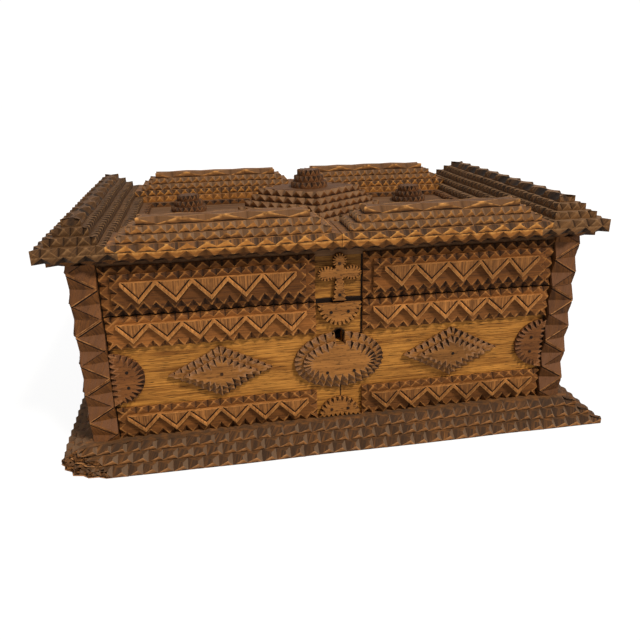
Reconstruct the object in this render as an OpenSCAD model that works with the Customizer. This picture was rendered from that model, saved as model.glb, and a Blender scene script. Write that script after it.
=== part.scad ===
// Notch-carved layered wooden box with a hinged lid.
// Origin: centre of the underside of the base. +Z up, front towards -Y.

/* [Box] */
// Outer width of the four walls
box_w = 294; // [270:1:330]
// Outer depth of the four walls
box_d = 198; // [180:1:230]
// Thickness of the wall boards
wall = 6; // [5:0.5:8]
// Height of the joint between body and lid above the table
split_z = 91; // [88:0.5:100]
// Thickness of the floor board inside the box
floor_t = 5; // [4:0.5:8]

/* [Base] */
// Thickness of the lowest base layer
base_lower_t = 4.6; // [4:0.1:6]
// Thickness of the middle and upper base layers
base_step_t = 4.2; // [3.5:0.1:5]
// How far the upper base layer stands out past the walls
base_upper_out = 12.5; // [10:0.5:15]
// How far each lower base layer stands out past the one above
base_step_out = 6.2; // [5:0.1:8]

/* [Lid] */
// Height of the sunken lid board's upper face above the table
lid_floor_z = 122.6; // [121:0.2:135]
// Thickness of the lid board
lid_board_t = 4; // [3:0.5:6]
// Thickness of the cornice strips under the eaves
cornice_t = 3; // [2.6:0.1:5]
// How far the cornice stands out past the left and right walls
cornice_side_out = 13.8; // [12:0.2:16]
// How far the cornice stands out past the front and back walls
cornice_end_out = 4.8; // [4:0.2:8]
// Thickness of each of the two eave boards
eave_t = 3.9; // [2.8:0.1:4.5]
// How far the eaves stand out past the cornice
eave_out = 5.5; // [4:0.1:7]

/* [Ridges] */
// Width of the stepped ridges at the upper eave board
ridge_w = 37.7; // [36:0.1:42]
// Thickness of each ridge step
ridge_t = 4.05; // [3.5:0.05:5]
// Inset of each ridge step on the side that faces the sunken field
ridge_inner_step = 4.5; // [4:0.1:4.8]
// Extra inset of the boards below the upper eave, towards the field
field_step = 6.2; // [5:0.1:7]
// Inset of the first step from the eave on the left and right ridges
side_first_step = 5.8; // [4:0.1:6.5]
// Inset of the later steps on the outer face of the left and right ridges
side_step = 4; // [3:0.1:4.5]
// Inset of each step at the front and back ends of the left and right ridges
side_end_step = 6.2; // [4:0.1:8]
// Inset of each step on the outer face of the front and back ridges
end_step = 4.2; // [3:0.1:4.5]
// Inset of each step at the two ends of the front and back ridges
end_end_step = 5.3; // [4:0.1:7]

/* [Crown and buttons] */
// Half the width of the lowest crown layer
crown_half = 57; // [48:0.5:60]
// Depth of a crown layer as a share of its width
crown_depth = 0.8; // [0.7:0.05:0.95]
// Place of the crown behind the middle of the lid
crown_back = 3; // [0:0.5:5]
// Inset of each crown layer along its width
crown_step = 5; // [3.5:0.1:6]
// Thickness of each crown layer and button disc
crown_t = 4.05; // [3.5:0.05:5]
// Radius of the large button discs
button_r = 13.2; // [12:0.1:16]
// Inset of each smaller disc
button_step = 2.4; // [2:0.1:3]
// Gap between the corner buttons and the left and right cornice strips
button_side_gap = 16; // [4:0.5:24]
// Gap between the corner buttons and the front and back cornice strips
button_end_gap = 6; // [3:0.5:10]

/* [Bands] */
// Thickness of each layer of the carved bands
band_t = 2.8; // [2:0.1:3.5]
// Gap between the bands and the corner posts
band_post_gap = 1; // [0.6:0.1:2]
// Half width of the bare middle between the left and right bands
band_mid = 14.5; // [13.8:0.1:18]
// Height of the two bands on the body
band_h = 19.4; // [17:0.2:22]
// Height of the band on the lid
lid_band_h = 28.6; // [26:0.2:29]
// Gap between a band and the lid joint or the base
band_edge_gap = 0.4; // [0.3:0.1:1.5]
// Inset of each upper band layer at its ends
band_end_step = 5.8; // [4:0.1:7]
// Inset of each upper band layer along its long edges
band_step = 4; // [3:0.1:4.4]
// Length of one chip on the bands
band_pitch = 7; // [5:0.1:9]
// Depth of the chips on the bands, measured into the face
band_bite = 3; // [1.6:0.1:3.4]
// Depth of the chips on the bands, measured down the edge
band_drop = 2.1; // [1.4:0.1:2.2]
// Length of one zigzag tooth on the bands
zigzag_pitch = 18; // [14:0.2:22]
// Height left uncut above the zigzag
zigzag_bar = 1.6; // [1:0.1:2.5]

/* [Corner posts] */
// Width of the corner strips on the sides and back
post_w = 15.4; // [14:0.1:18]
// Width of the corner strips on the front
front_post_w = 15; // [13:0.1:17]
// How far the front strips lap over the edges of the side strips
post_lap = 4.5; // [3:0.1:5]
// Thickness of the corner strips on the front
post_t = 5; // [4:0.1:6]
// Thickness of the corner strips on the sides
side_post_t = 6.5; // [5:0.1:7]
// Thickness of the corner strips on the back
back_post_t = 2.6; // [2:0.1:2.8]
// Length of one zigzag on the corner strips
post_pitch = 18.3; // [16:0.1:22]
// Depth of the chips cut into the corner strips
post_drop = 3.2; // [2:0.1:3.5]

/* [Panel ornaments] */
// Thickness of each rosette and diamond layer
panel_t = 3; // [2:0.1:3.5]
// Height of the row of diamonds and rosettes above the table
panel_z = 51.6; // [50:0.2:54]
// Half width of the diamonds
diamond_x = 31; // [26:0.5:34]
// Half height of the diamonds
diamond_z = 16.4; // [14:0.1:17]
// Inset of the upper diamond along its long diagonal
diamond_step = 9; // [7:0.2:12]
// Distance of the diamonds from the middle of the front
diamond_mid = 72.5; // [68:0.5:76]
// Half width of the oval rosette
oval_x = 28; // [24:0.5:30]
// Half height of the oval rosette
oval_z = 18.4; // [16:0.1:18.6]
// Inset of the upper oval layer
oval_step = 5; // [4:0.1:7]
// Depth of the half rosettes beside the posts
half_side_x = 19; // [15:0.5:22]
// Half height of the half rosettes beside the posts
half_side_z = 16.4; // [13:0.1:17]
// Radius of the half rosettes above and below the oval
half_mid_r = 13.2; // [11:0.1:13.4]
// Half width of the cross on the lid
cross_x = 13.2; // [11:0.1:13.4]
// Width of the cross arms
cross_arm = 5.6; // [4:0.1:7]
// Radius of the round ends of the cross
cross_lobe = 4.4; // [3:0.1:5]
// Half length of the oval arms of the cross
cross_side = 5.5; // [5:0.1:6]

/* [Carving] */
// Length of one chip on the base layers
base_pitch = 8.7; // [7:0.1:11]
// Length of one chip on the eaves
eave_pitch = 10.4; // [8:0.1:13]
// Length of one fine chip on the ridges, the crown and the bands
fine_pitch = 6.4; // [5:0.1:9]
// Length of one chip on the tops of the left and right ridges
side_top_pitch = 18; // [12:0.5:24]
// Length of one chip on the tops of the front and back ridges
end_top_pitch = 24; // [16:0.5:32]
// How far a chip reaches in from the edge
chip_bite = 2.6; // [1.8:0.1:3]
// How far a chip reaches down from the edge
chip_drop = 2.4; // [1.6:0.1:2.6]
// Share of the edge that the chips take
chip_share = 0.86; // [0.6:0.02:0.9]
// Number of notches round the large button discs
button_notches = 18; // [12:1:26]
// Depth of the notches round discs and rosettes
notch_depth = 1.8; // [1:0.1:2.2]

/* [Lock] */
// Width of the lock case
lock_w = 40; // [34:1:50]
// Height of the lock case
lock_h = 30; // [28:1:34]
// Depth of the lock case
lock_d = 8; // [7:0.5:10]
// Wall of the lock case
lock_wall = 1.5; // [1:0.1:2]
// Width of the bolt
bolt_w = 16; // [12:0.5:20]
// Thickness of the bolt
bolt_t = 3; // [2.5:0.1:4]
// Travel of the bolt
bolt_throw = 5; // [3:0.5:6]
// Radius of the round part of the keyhole
key_r = 2.6; // [2:0.1:3]
// Height of the keyhole's round part above the table
key_z = 69.4; // [68:0.1:71]
// Width of the keyhole's slot
key_slot = 4.2; // [1.6:0.1:4.6]
// Length of the keyhole's slot below its round part
key_drop = 5.6; // [4:0.1:7]

/* [Hinges] */
// Distance of the hinges from the middle
hinge_x = 85; // [60:1:100]
// Length of a hinge along its pin
hinge_len = 40; // [30:1:60]
// Height of a hinge leaf
hinge_leaf_h = 20; // [14:0.5:24]
// Thickness of a hinge leaf
hinge_leaf_t = 1.2; // [0.8:0.1:1.6]
// Outer radius of the hinge knuckles
knuckle_r = 3; // [2.9:0.1:4]
// Radius of the hinge pin
pin_r = 1.4; // [1:0.1:1.8]

/* [Fits] */
// Gap between the lid and the body where they seat
seat_gap = 0.3; // [0.2:0.05:0.6]
// Radial clearance of the hinge pin in its knuckles
pin_clear = 0.05; // [0.03:0.01:0.1]
// Seam between the left and right halves of the front and back eaves
seam_gap = 0.3; // [0.2:0.05:1]
// Gap between the lower bands and the base
band_foot_gap = 0.2; // [0.1:0.05:0.5]
// Gap between hinge knuckles along the pin
knuckle_gap = 0.3; // [0.2:0.05:0.6]
// Clearance round the sliding bolt
bolt_clear = 0.2; // [0.1:0.05:0.4]
// Clearance round the bolt in the strike plate
strike_clear = 1; // [0.8:0.05:1.2]
// Radius of the nails
nail_r = 0.6; // [0.4:0.05:0.75]
// Radius of the nail heads
nail_head_r = 0.95; // [0.8:0.05:1.6]
// How far the nail heads stand proud
nail_head_t = 0.4; // [0.2:0.05:0.8]

/* [Hidden] */
$fn = 48;
over = 1;
base_top = base_lower_t + 2 * base_step_t;
body_top = split_z - seat_gap / 2;
lid_low = split_z + seat_gap / 2;
half_w = box_w / 2;
half_d = box_d / 2;
// Front face and side face of the walls
front_y = -half_d;
post_face_w = half_w + post_lap;
// Levels of the lid, from the sunken board upwards
cornice_top = lid_floor_z + cornice_t;
eave_mid = cornice_top + eave_t;
eave_top = eave_mid + eave_t;
// Outer half sizes of the cornice and the eaves
cornice_x = half_w + cornice_side_out;
cornice_y = half_d + cornice_end_out;
eave_x = cornice_x + eave_out;
eave_y = cornice_y + eave_out;
// Inner half sizes of the upper eave, the lower eave and the cornice
upper_in_x = eave_x - ridge_w;
upper_in_y = eave_y - ridge_w;
lower_in_x = upper_in_x - field_step;
lower_in_y = upper_in_y - field_step;
field_x = lower_in_x - field_step;
field_y = lower_in_y - field_step;
// Middles of the corner buttons
button_x = field_x - button_r - button_side_gap;
button_y = field_y - button_r - button_end_gap;
// Hinge axis, outside the strips on the back
axis_y = half_d + knuckle_r;
knuckle_len = (hinge_len - 2 * knuckle_gap) / 3;
// Lock
lock_back_y = front_y + wall;
lock_top = body_top - 0.4;
bolt_y = lock_back_y + lock_d / 2;
bolt_h = lock_h / 2;
strike_low = lid_low + 0.6;
strike_t = 1.2;
strike_h = 12;
// Bands
band_len = post_face_w - front_post_w - band_post_gap - band_mid;
side_band_len = box_d - 2 * post_w - 2 * band_post_gap;
crown_layers = 5;
lid_wall_top = lid_floor_z - lid_board_t;
upper_band_z = body_top - band_edge_gap - band_h;
lower_band_z = base_top + band_foot_gap;
lid_band_z = lid_low + band_edge_gap;
crown_top = lid_floor_z + crown_layers * crown_t;
side_rosette_mid = post_face_w - front_post_w - half_side_x / 2;

dark_wood = "#5b4a3a";
grey_wood = "#4a4238";
mid_wood = "#86623a";
gold_wood = "#b07f3f";
red_wood = "#80553a";
iron = "#4b4a48";

// A comb of wedges that cuts a row of chips along an edge.
// The edge runs along +X from the origin, with the wood at +Y and below Z 0.
module chip_row(length, pitch, bite, drop, share = chip_share, shift = 0) {
    count = max(1, round(length / pitch));
    step = length / count;
    slant = sqrt(bite * bite + drop * drop);
    depth = bite * drop / slant;
    back = depth * 1.08;
    half = share * step / 2 * back / depth;
    teeth = [for (i = [0:count - 1]) let (mid = (i + 0.5 + shift) * step)
        each [[mid - half, -back], [mid, 0], [mid + half, -back]]];
    outline = concat([[teeth[0][0], -back - over]], teeth, [[teeth[3 * count - 1][0], -back - over]]);
    translate([0, bite / 2, -drop / 2])
        rotate([-atan2(bite, drop), 0, 0])
            linear_extrude(height = 3 * slant + 2 * over, center = true)
                polygon(outline);
}

// A flat board from the origin to [w, d, t] with chips along its upper edges.
// sides tells which edges are carved: front, right, back and left.
module carved_board(w, d, t, pitch, sides = [1, 1, 1, 1], bite = chip_bite, drop = chip_drop) {
    difference() {
        cube([w, d, t]);
        if (sides[0]) translate([0, 0, t]) chip_row(w, pitch, bite, drop);
        if (sides[1]) translate([w, 0, t]) rotate(90) chip_row(d, pitch, bite, drop);
        if (sides[2]) translate([w, d, t]) rotate(180) chip_row(w, pitch, bite, drop);
        if (sides[3]) translate([0, d, t]) rotate(-90) chip_row(d, pitch, bite, drop);
    }
}

// The same board between two corners, [x0, y0] and [x1, y1], on level z.
module carved_strip(x0, y0, x1, y1, z, t, pitch, sides = [1, 1, 1, 1]) {
    translate([x0, y0, z])
        carved_board(x1 - x0, y1 - y0, t, pitch, sides, min(chip_bite, 0.72 * t * chip_bite / chip_drop),
            min(chip_drop, 0.62 * t));
}

// A carved strip whose chips are on its lower edges.
module carved_under(x0, y0, x1, y1, z, t, pitch, sides) {
    translate([0, 0, 2 * z + t])
        mirror([0, 0, 1])
            carved_strip(x0, y0, x1, y1, z, t, pitch, sides);
}

// Copies its children to the left and the right.
module both_sides() {
    children();
    mirror([1, 0, 0]) children();
}

// Copies its children to the front and the back.
module both_ends() {
    children();
    mirror([0, 1, 0]) children();
}

// Stands a flat ornament, drawn in X and Y with its face up, on the front wall.
module on_front(layer_y = 0) {
    translate([0, front_y - layer_y, 0])
        rotate([90, 0, 0])
            children();
}

// Stands a flat ornament on the right wall, with its own X running towards the back.
module on_right(layer_x = 0) {
    translate([half_w + layer_x, 0, 0])
        rotate([90, 0, 90])
            children();
}

// An oval whose outline is cut into count notches, from angle a0 to a1.
module notched_oval(rx, ry, t, count, depth = notch_depth, a0 = 0, a1 = 360) {
    step = (a1 - a0) / count;
    ledge = 0.3 * t;
    ring = [for (i = [0:count]) [cos(a0 + i * step), sin(a0 + i * step)]];
    teeth = [for (i = [0:count - 1]) let (a = a0 + i * step)
        each [[rx * cos(a), ry * sin(a)],
              [(rx - depth) * cos(a + step / 2), (ry - depth) * sin(a + step / 2)]]];
    last = a1 - a0 < 360 ? [[rx * cos(a1), ry * sin(a1)]] : [];
    linear_extrude(ledge) polygon([for (p = ring) [rx * p[0], ry * p[1]]]);
    translate([0, 0, ledge])
        linear_extrude(t - ledge)
            polygon(concat(teeth, last));
}

// A diamond with chips along its four upper edges.
module carved_diamond(hx, hy, t, pitch) {
    side = sqrt(hx * hx + hy * hy);
    lean = atan2(hy, hx);
    difference() {
        linear_extrude(t) polygon([[hx, 0], [0, hy], [-hx, 0], [0, -hy]]);
        for (turn = [0, 180]) rotate(turn) {
            translate([-hx, 0, t]) rotate(-lean) chip_row(side, pitch, chip_bite, chip_drop);
            translate([0, -hy, t]) rotate(lean) chip_row(side, pitch, chip_bite, chip_drop);
        }
    }
}

// A strip with a straight upper edge and a zigzag lower edge.
module zigzag_strip(length, height, t) {
    count = max(2, round(length / zigzag_pitch));
    step = length / count;
    peak = height - zigzag_bar;
    teeth = [for (i = [0:count - 1]) each [[i * step, peak], [(i + 0.5) * step, 0]]];
    linear_extrude(t)
        polygon(concat(teeth, [[length, peak], [length, height], [0, height]]));
}

// A corner strip along +Y, carved with large chips from both long edges in turn.
// z0 and z1 give the stretch of the whole post that this piece takes.
module carved_post(w, t, z0, z1) {
    whole = lid_floor_z - base_top;
    reach = w * 0.92;
    drop = min(post_drop, 0.72 * t);
    intersection() {
        translate([0, z0, 0]) cube([w, z1 - z0, t]);
        translate([0, base_top, 0])
            difference() {
                cube([w, whole, t]);
                translate([0, whole, t]) rotate(-90)
                    chip_row(whole, post_pitch, reach, drop, 0.92, -0.25);
                translate([w, 0, t]) rotate(90)
                    chip_row(whole, post_pitch, reach, drop, 0.92, -0.25);
            }
    }
}

module base_layer(z, t, out) {
    carved_strip(-half_w - out, -half_d - out, half_w + out, half_d + out, z, t, base_pitch);
}
module base_lower() {
    color(grey_wood) base_layer(0, base_lower_t, base_upper_out + 2 * base_step_out);
}
module base_middle() {
    color(grey_wood) base_layer(base_lower_t, base_step_t, base_upper_out + base_step_out);
}
module base_upper() {
    color(grey_wood) base_layer(base_lower_t + base_step_t, base_step_t, base_upper_out);
}

module bottom_board() {
    color(mid_wood)
        translate([-half_w + wall, -half_d + wall, base_top])
            cube([box_w - 2 * wall, box_d - 2 * wall, floor_t]);
}

// Keyhole: a round hole over a slot, cut along the depth.
module keyhole(spare = 0) {
    translate([0, 0, key_z]) rotate([90, 0, 0]) {
        cylinder(r = key_r + spare, h = box_d, center = true);
        translate([-key_slot / 2 - spare, -key_drop - spare, -half_d])
            cube([key_slot + 2 * spare, key_drop, box_d]);
    }
}

module front_board(z0, z1) {
    translate([-half_w, -half_d, z0]) cube([box_w, wall, z1 - z0]);
}
module side_board(z0, z1) {
    translate([half_w - wall, -half_d + wall, z0]) cube([wall, box_d - 2 * wall, z1 - z0]);
}

module front_wall() {
    color(gold_wood) difference() {
        front_board(base_top, body_top);
        keyhole();
    }
}
module back_wall() {
    color(gold_wood) mirror([0, 1, 0]) front_board(base_top, body_top);
}
module left_wall() {
    color(gold_wood) mirror([1, 0, 0]) side_board(base_top, body_top);
}
module right_wall() {
    color(gold_wood) side_board(base_top, body_top);
}

module lid_front_wall() {
    color(gold_wood) front_board(lid_low, lid_wall_top);
}
module lid_back_wall() {
    color(gold_wood) mirror([0, 1, 0]) front_board(lid_low, lid_wall_top);
}
module lid_left_wall() {
    color(gold_wood) mirror([1, 0, 0]) side_board(lid_low, lid_wall_top);
}
module lid_right_wall() {
    color(gold_wood) side_board(lid_low, lid_wall_top);
}
module lid_board() {
    color(mid_wood)
        translate([-half_w, -half_d, lid_wall_top])
            cube([box_w, box_d, lid_board_t]);
}

module front_posts(z0, z1) {
    both_sides()
        on_front() translate([post_face_w - front_post_w, 0, 0]) carved_post(front_post_w, post_t, z0, z1);
}
module rear_posts(z0, z1) {
    both_sides() {
        both_ends()
            on_right() translate([half_d - post_w, 0, 0]) carved_post(post_w, side_post_t, z0, z1);
        mirror([0, 1, 0])
            on_front() translate([half_w - post_w, 0, 0]) carved_post(post_w, back_post_t, z0, z1);
    }
}
module front_corner_posts() {
    color(red_wood) front_posts(base_top, body_top);
}
module rear_corner_posts() {
    color(red_wood) rear_posts(base_top, body_top);
}
module lid_front_corner_posts() {
    color(red_wood) front_posts(lid_low, lid_floor_z);
}
module lid_rear_corner_posts() {
    color(red_wood) rear_posts(lid_low, lid_floor_z);
}

// One band layer of the given level, on the front twice and on each side once.
module band_layer(z, height, layer) {
    inset = layer * band_end_step;
    rise = layer * band_step;
    both_sides() {
        on_front(layer * band_t)
            translate([band_mid + inset, z + rise, 0])
                carved_board(band_len - 2 * inset, height - 2 * rise, band_t, band_pitch,
                    bite = band_bite, drop = band_drop);
        on_right(layer * band_t)
            translate([-side_band_len / 2 + inset, z + rise, 0])
                carved_board(side_band_len - 2 * inset, height - 2 * rise, band_t, band_pitch,
                    bite = band_bite, drop = band_drop);
    }
}
module band_zigzag(z, height, layer) {
    inset = layer * band_end_step;
    rise = layer * band_step;
    both_sides() {
        on_front(layer * band_t)
            translate([band_mid + inset, z + rise, 0])
                zigzag_strip(band_len - 2 * inset, height - 2 * rise, band_t);
        on_right(layer * band_t)
            translate([-side_band_len / 2 + inset, z + rise, 0])
                zigzag_strip(side_band_len - 2 * inset, height - 2 * rise, band_t);
    }
}
module upper_band_backs() {
    color(mid_wood) band_layer(upper_band_z, band_h, 0);
}
module upper_band_zigzags() {
    color(mid_wood) band_zigzag(upper_band_z, band_h, 1);
}
module lower_band_backs() {
    color(mid_wood) band_layer(lower_band_z, band_h, 0);
}
module lower_band_zigzags() {
    color(mid_wood) band_zigzag(lower_band_z, band_h, 1);
}
module lid_band_backs() {
    color(mid_wood) band_layer(lid_band_z, lid_band_h, 0);
}
module lid_band_mids() {
    color(mid_wood) band_layer(lid_band_z, lid_band_h, 1);
}
module lid_band_zigzags() {
    color(mid_wood) band_zigzag(lid_band_z, lid_band_h, 2);
}

module half_rosettes_sides() {
    color(red_wood) both_sides()
        on_front()
            translate([post_face_w - front_post_w - 0.4, panel_z, 0])
                notched_oval(half_side_x, half_side_z, panel_t, 12, a0 = 90, a1 = 270);
}
module half_rosette_top() {
    color(red_wood)
        on_front()
            translate([0, body_top - 1.2, 0])
                notched_oval(half_mid_r, half_mid_r, panel_t, 10, a0 = 180, a1 = 360);
}
module half_rosette_bottom() {
    color(red_wood)
        on_front()
            translate([0, lower_band_z, 0])
                notched_oval(half_mid_r, half_mid_r, panel_t, 10, a0 = 0, a1 = 180);
}
module oval(level) {
    difference() {
        on_front(level * panel_t)
            translate([0, panel_z + 0.6, 0])
                notched_oval(oval_x - level * oval_step, oval_z - level * oval_step, panel_t, 30 - 4 * level);
        keyhole(0.5);
    }
}
module oval_lower() {
    color(red_wood) oval(0);
}
module oval_upper() {
    color(red_wood) oval(1);
}
module diamonds(level) {
    hx = diamond_x - level * diamond_step;
    hz = diamond_z - level * diamond_step * diamond_z / diamond_x;
    both_sides() {
        on_front(level * panel_t) translate([diamond_mid, panel_z, 0])
            carved_diamond(hx, hz, panel_t, fine_pitch);
        on_right(level * panel_t) translate([0, panel_z, 0])
            carved_diamond(hx, hz, panel_t, fine_pitch);
    }
}
module diamonds_lower() {
    color(mid_wood) diamonds(0);
}
module diamonds_upper() {
    color(mid_wood) diamonds(1);
}

module lid_cross() {
    head_z = lid_band_z + lid_band_h - cross_lobe;
    bar_z = lid_low + 0.69 * (head_z - lid_low);
    color(red_wood) on_front() {
        translate([-cross_arm / 2, lid_low, 0]) carved_board(cross_arm, head_z - lid_low, panel_t, 5,
            [0, 1, 0, 1], 1.2, 1.6);
        translate([0, head_z, 0]) notched_oval(cross_lobe, cross_lobe, panel_t, 12, 0.9);
        both_sides() translate([cross_x - cross_side, bar_z, 0])
            notched_oval(cross_side, cross_lobe, panel_t, 12, 0.9);
    }
}

// Cornice strips: one along each side, one along each end between them.
module cornice() {
    color(dark_wood) {
        both_sides() {
            difference() {
                carved_under(field_x, -cornice_y, cornice_x, cornice_y, lid_floor_z, cornice_t,
                    eave_pitch, [1, 1, 1, 0]);
                translate([field_x, cornice_y, cornice_top]) rotate(-90)
                    chip_row(2 * cornice_y, fine_pitch, chip_bite, chip_drop);
            }
        }
        both_ends()
            difference() {
                carved_under(-field_x + seam_gap, -cornice_y, field_x - seam_gap, -field_y, lid_floor_z,
                    cornice_t, eave_pitch, [1, 0, 0, 0]);
                translate([field_x, -field_y, cornice_top]) rotate(180)
                    chip_row(2 * field_x, fine_pitch, chip_bite, chip_drop);
            }
    }
}

module eave_lower_sides() {
    color(grey_wood) both_sides()
        difference() {
            carved_under(lower_in_x, -eave_y, eave_x, eave_y, cornice_top, eave_t, eave_pitch, [1, 1, 1, 0]);
            translate([lower_in_x, eave_y, eave_mid]) rotate(-90)
                chip_row(2 * eave_y, fine_pitch, chip_bite, 0.6 * eave_t);
        }
}
module eave_lower_ends() {
    color(gold_wood) both_sides() both_ends()
        difference() {
            carved_under(seam_gap / 2, -eave_y, lower_in_x, -lower_in_y, cornice_top, eave_t, eave_pitch,
                [1, 0, 0, 0]);
            translate([lower_in_x, -lower_in_y, eave_mid]) rotate(180)
                chip_row(lower_in_x, fine_pitch, chip_bite, 0.6 * eave_t);
        }
}
module eave_upper_sides() {
    color(grey_wood) both_sides()
        carved_strip(upper_in_x, -eave_y, eave_x, eave_y, eave_mid, eave_t, eave_pitch);
}
module eave_upper_ends() {
    color(gold_wood) both_sides() both_ends()
        carved_strip(seam_gap / 2, -eave_y, upper_in_x, -upper_in_y, eave_mid, eave_t, eave_pitch,
            [1, 0, 1, 0]);
}

// Steps of the left and right ridges, level 0 lowest.
module side_ridge(level, pitch) {
    outer = side_first_step + level * side_step;
    ends = (level + 1) * side_end_step;
    color(grey_wood) both_sides()
        carved_strip(upper_in_x + (level + 1) * ridge_inner_step, -eave_y + ends,
            eave_x - outer, eave_y - ends, eave_top + level * ridge_t, ridge_t, pitch);
}
module side_ridge_step_1() {
    side_ridge(0, fine_pitch);
}
module side_ridge_step_2() {
    side_ridge(1, fine_pitch);
}
module side_ridge_top() {
    side_ridge(2, side_top_pitch);
}

// Steps of the front and back ridges, two to each, level 0 lowest.
module end_ridge(level, pitch) {
    ends = (level + 1) * end_end_step;
    color(mid_wood) both_sides() both_ends()
        carved_strip(ends, -eave_y + (level + 1) * end_step, upper_in_x - ends,
            -upper_in_y - (level + 1) * ridge_inner_step, eave_top + level * ridge_t, ridge_t, pitch);
}
module end_ridge_step_1() {
    end_ridge(0, fine_pitch);
}
module end_ridge_step_2() {
    end_ridge(1, fine_pitch);
}
module end_ridge_top() {
    end_ridge(2, end_top_pitch);
}

module crown(level) {
    half = crown_half - level * crown_step;
    color(mid_wood)
        translate([0, crown_back, lid_floor_z + level * crown_t])
            carved_diamond(half, crown_depth * half, crown_t, fine_pitch);
}
module crown_1() {
    crown(0);
}
module crown_2() {
    crown(1);
}
module crown_3() {
    crown(2);
}
module crown_4() {
    crown(3);
}
module crown_5() {
    crown(4);
}

module buttons(level) {
    radius = button_r - level * button_step;
    count = button_notches - 2 * level;
    color(dark_wood) {
        both_sides() both_ends()
            translate([button_x, button_y, lid_floor_z + level * crown_t])
                notched_oval(radius, radius, crown_t, count);
        translate([0, crown_back, crown_top + level * crown_t])
            notched_oval(radius, radius, crown_t, count);
    }
}
module buttons_large() {
    buttons(0);
}
module buttons_medium() {
    buttons(1);
}
module buttons_small() {
    buttons(2);
}

// Lock case on the inner face of the front wall, open at the top for the bolt.
module lock_case() {
    color(iron) difference() {
        translate([-lock_w / 2, lock_back_y, lock_top - lock_h]) cube([lock_w, lock_d, lock_h]);
        translate([-bolt_w / 2 - bolt_clear, bolt_y - bolt_t / 2 - bolt_clear,
            lock_top - bolt_h - bolt_clear])
            cube([bolt_w + 2 * bolt_clear, bolt_t + 2 * bolt_clear, bolt_h + bolt_clear + over]);
        translate([0, lock_back_y - over, key_z]) rotate([-90, 0, 0])
            cylinder(r = key_r + 0.6, h = lock_d - lock_wall + over);
    }
}
module lock_bolt() {
    color(iron)
        translate([-bolt_w / 2, bolt_y - bolt_t / 2, lock_top - bolt_h])
            cube([bolt_w, bolt_t, bolt_h]);
}
// Angle plate on the lid with a slot that the bolt enters.
module strike_plate() {
    color(iron) difference() {
        union() {
            translate([-lock_w / 2, lock_back_y, strike_low]) cube([lock_w, strike_t, strike_h]);
            translate([-lock_w / 2, lock_back_y, strike_low]) cube([lock_w, lock_d, strike_t]);
        }
        translate([-bolt_w / 2 - strike_clear, bolt_y - bolt_t / 2 - strike_clear, strike_low - over])
            cube([bolt_w + 2 * strike_clear, bolt_t + 2 * strike_clear, strike_t + 2 * over]);
    }
}

// Hinge knuckle along X, centred on x.
module knuckle(x, length) {
    translate([x - length / 2, axis_y, split_z]) rotate([0, 90, 0])
        cylinder(r = knuckle_r, h = length);
}
module pin_bore() {
    translate([-hinge_len, axis_y, split_z]) rotate([0, 90, 0])
        cylinder(r = pin_r + pin_clear, h = 2 * hinge_len);
}
module hinge_leaves_body() {
    outer = knuckle_len + knuckle_gap;
    color(iron) for (side = [-1, 1]) translate([side * hinge_x, 0, 0])
        difference() {
            union() {
                translate([-hinge_len / 2, half_d, split_z - knuckle_r - hinge_leaf_h])
                    cube([hinge_len, hinge_leaf_t, hinge_leaf_h]);
                for (end = [-1, 1]) {
                    knuckle(end * outer, knuckle_len);
                    translate([end * outer - knuckle_len / 2, half_d, split_z - knuckle_r - over])
                        cube([knuckle_len, hinge_leaf_t, knuckle_r + over]);
                }
            }
            pin_bore();
        }
}
module hinge_leaves_lid() {
    color(iron) for (side = [-1, 1]) translate([side * hinge_x, 0, 0])
        difference() {
            union() {
                translate([-hinge_len / 2, half_d, split_z + knuckle_r])
                    cube([hinge_len, hinge_leaf_t, hinge_leaf_h]);
                knuckle(0, knuckle_len);
                translate([-knuckle_len / 2, half_d, split_z])
                    cube([knuckle_len, hinge_leaf_t, knuckle_r + over]);
            }
            pin_bore();
        }
}
module hinge_pins() {
    color(iron) for (side = [-1, 1])
        translate([side * hinge_x - hinge_len / 2, axis_y, split_z]) rotate([0, 90, 0])
            cylinder(r = pin_r, h = hinge_len);
}

// A nail driven along +Y, with its head's underside at the origin.
module nail(length) {
    rotate([-90, 0, 0]) cylinder(r = nail_r, h = length);
    translate([0, -nail_head_t, 0]) rotate([-90, 0, 0]) cylinder(r = nail_head_r, h = nail_head_t);
}
module front_nails(spots, depth) {
    for (spot = spots)
        translate([spot[0], front_y - depth, spot[1]]) nail(depth + wall - over);
}
module back_nails(z) {
    for (side = [-1, 1], shift = [-1, 0, 1])
        translate([side * hinge_x + shift * hinge_len * 0.36, half_d + hinge_leaf_t, z])
            rotate(180) nail(hinge_leaf_t + wall - over);
}
module body_nails() {
    color(iron) {
        for (side = [-1, 1]) {
            front_nails([[side * oval_x * 0.3, panel_z - oval_z * 0.3],
                [side * diamond_mid, panel_z]], 2 * panel_t);
            front_nails([[side * half_mid_r * 0.4, body_top - half_mid_r * 0.5],
                [side * half_mid_r * 0.4, lower_band_z + half_mid_r * 0.4]], panel_t);
            front_nails([[side * side_rosette_mid, panel_z - half_side_z * 0.3],
                [side * side_rosette_mid, panel_z + half_side_z * 0.3]], panel_t);
        }
        back_nails(split_z - knuckle_r - hinge_leaf_h / 2);
    }
}
module lid_nails() {
    color(iron) {
        front_nails([[0, lid_band_z + lid_band_h * 0.12], [0, lid_band_z + lid_band_h * 0.8]], panel_t);
        back_nails(split_z + knuckle_r + hinge_leaf_h / 2);
    }
}

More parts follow.
